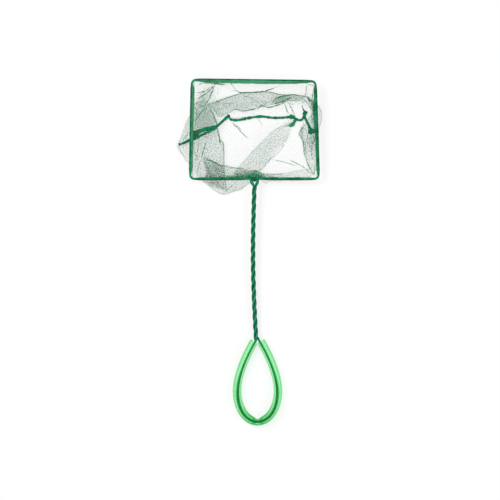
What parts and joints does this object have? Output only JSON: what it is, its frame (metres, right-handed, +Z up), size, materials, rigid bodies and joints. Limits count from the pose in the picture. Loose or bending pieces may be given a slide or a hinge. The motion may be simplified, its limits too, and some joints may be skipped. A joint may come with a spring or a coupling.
{
  "type": "fish net",
  "caption": "Rectangular hand net of coated wire with a twisted handle, a sleeved hanging loop and a fine mesh bag lying collapsed in its frame.",
  "frame": {"origin": "centre of the bounding box at the table that the net lies on", "axes": "+X across the net, +Y along the handle from the loop to the frame, +Z up from the table"},
  "size_m": [0.1694, 0.41, 0.0155],
  "materials": {
    "green_coating": "smooth vinyl coating with a soft gloss",
    "steel_core": "drawn wire",
    "soft_sleeve": "soft see-through vinyl, smooth and glossy",
    "hem_tape": "stitched nylon tape, matt",
    "net": "fine nylon mesh, matt",
    "binding_tape": "folded nylon tape, matt"
  },
  "bodies": {
    "root": {"far_rail": "green_coating", "left_rail": "green_coating", "right_rail": "green_coating", "near_rail_left": "green_coating", "near_rail_right": "green_coating", "bend_far_left": "green_coating", "bend_far_right": "green_coating", "bend_near_left": "green_coating", "bend_near_right": "green_coating", "strand_left_rail": "green_coating", "strand_right_rail": "green_coating", "strand_loop_end": "green_coating", "loop_wire": "green_coating", "core_frame": "steel_core", "core_strand_left_rail": "steel_core", "core_strand_right_rail": "steel_core", "core_strand_loop_end": "steel_core", "core_loop": "steel_core", "grip_sleeve": "soft_sleeve", "hem_far": "hem_tape", "hem_left": "hem_tape", "hem_right": "hem_tape", "hem_near_left": "hem_tape", "hem_near_right": "hem_tape", "net_bag": "net", "seam_binding": "binding_tape"}
  },
  "joints": []
}
